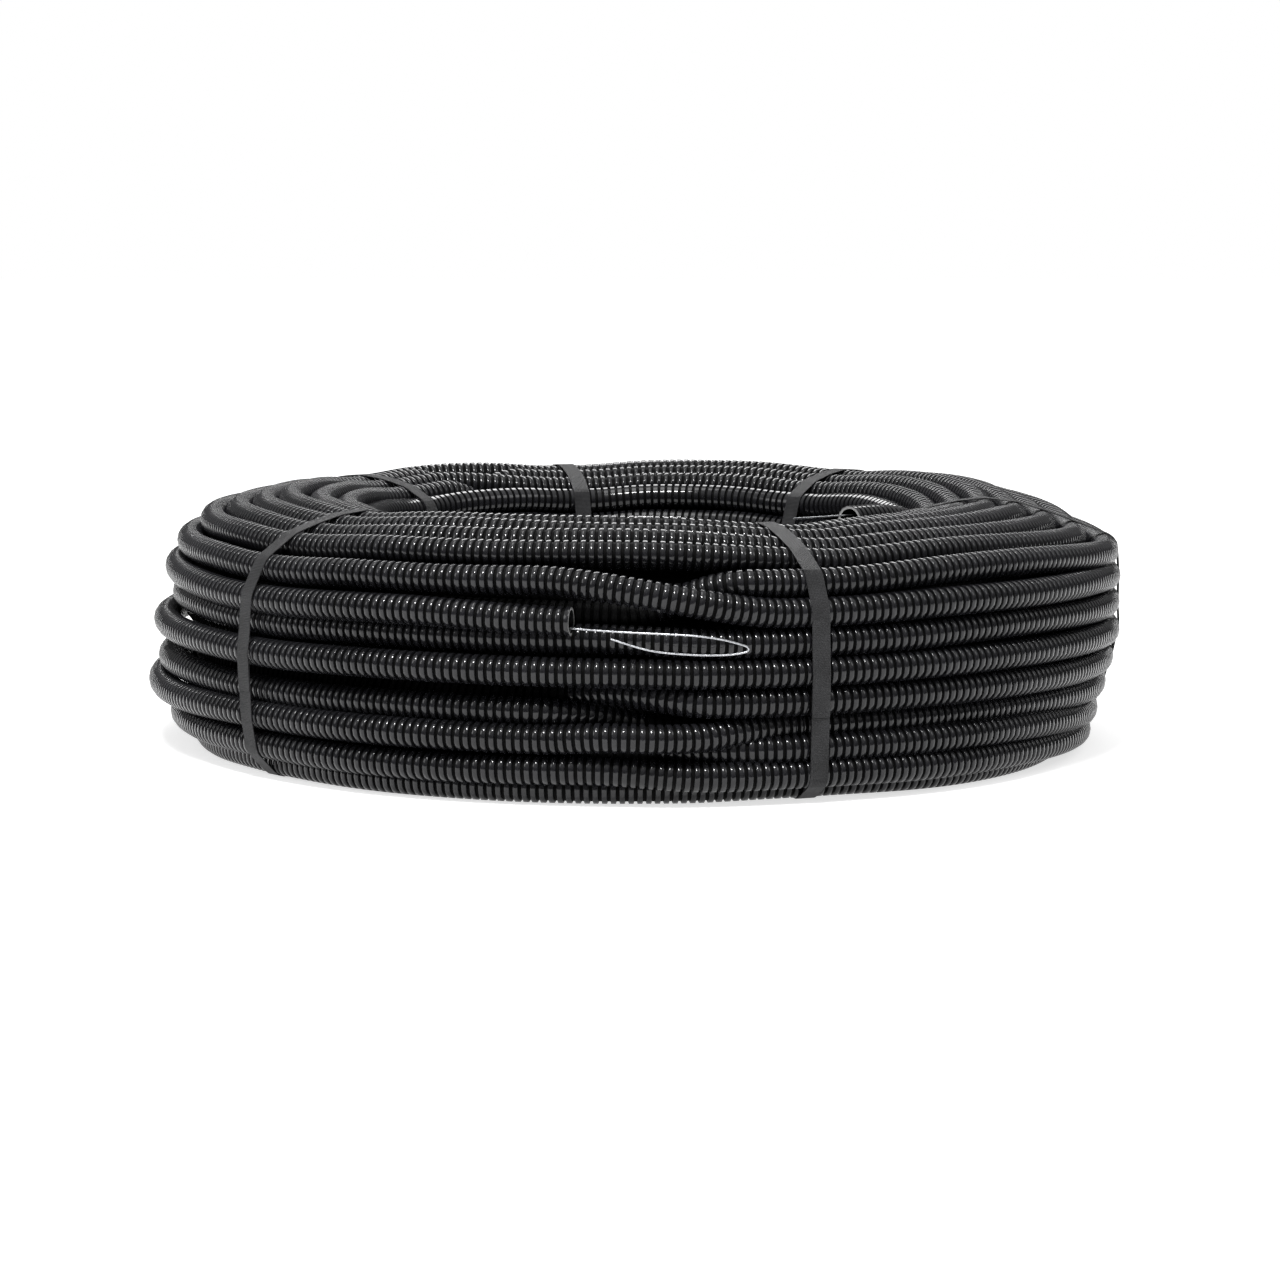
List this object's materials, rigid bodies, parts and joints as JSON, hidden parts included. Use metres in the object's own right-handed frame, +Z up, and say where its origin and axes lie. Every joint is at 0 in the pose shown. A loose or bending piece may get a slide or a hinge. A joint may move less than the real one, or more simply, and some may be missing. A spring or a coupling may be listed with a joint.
{
  "type": "strapped hose coil",
  "caption": "Strapped coil of black corrugated hose, lying flat, with a steel pull wire that runs through its bore and ends outside in a hairpin loop.",
  "frame": {"origin": "centre of the bounding box's bottom, on the face that the coil rests on", "axes": "+Z up along the coil's axis, -Y towards the side where the outer end of the hose opens, +X the way that end faces"},
  "size_m": [0.7183, 0.7239, 0.1828],
  "materials": {
    "hose": "glossy black polymer, corrugated with ring ribs",
    "strap": "dark grey embossed polypropylene strapping, semi-matte",
    "wire": "bright galvanised steel wire"
  },
  "bodies": {
    "coil": {"hose_coil": "hose", "hose_outer_end": "hose", "hose_inner_end": "hose", "strap_front_right": "strap", "strap_right": "strap", "strap_back_right": "strap", "strap_back_left": "strap", "strap_left": "strap", "strap_front_left": "strap"},
    "wire_loop": {"pull_wire_loop": "wire"},
    "wire_tail": {"pull_wire_tail": "wire"}
  },
  "joints": [
    {"name": "loop_slide", "type": "slide", "parent": "coil", "child": "wire_loop", "axis": [0.9848, -0.1736, 0], "range_m": [-0.02, 0.03]},
    {"name": "tail_slide", "type": "slide", "parent": "coil", "child": "wire_tail", "axis": [-0.606, -0.7946, 0.0377], "range_m": [-0.03, 0.02]}
  ],
  "couplings": [
    {"joint": "tail_slide", "follows": "loop_slide", "ratio": -1}
  ]
}
